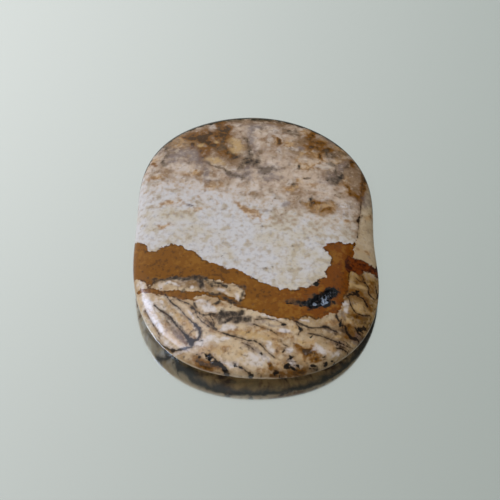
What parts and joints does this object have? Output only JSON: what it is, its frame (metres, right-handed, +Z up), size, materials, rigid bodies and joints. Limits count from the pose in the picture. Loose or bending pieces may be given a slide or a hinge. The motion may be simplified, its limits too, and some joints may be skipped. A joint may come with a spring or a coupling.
{
  "type": "picture jasper palm stone",
  "caption": "Flat, polished, cushion-shaped stone with a gently domed face, a rounded rim, a small open pocket in the face and a flat spot on its back to rest on.",
  "frame": {"origin": "under the middle of the stone's outline, on the surface it lies on", "axes": "+Z up through the domed face, +Y along the stone's length, +X across it towards the thinner side with the healed crack"},
  "size_m": [0.0336, 0.043, 0.0059],
  "materials": {
    "jasper": "polished, banded brown and cream on a speckled pale grey ground"
  },
  "bodies": {
    "root": {"stone": "jasper"}
  },
  "joints": []
}
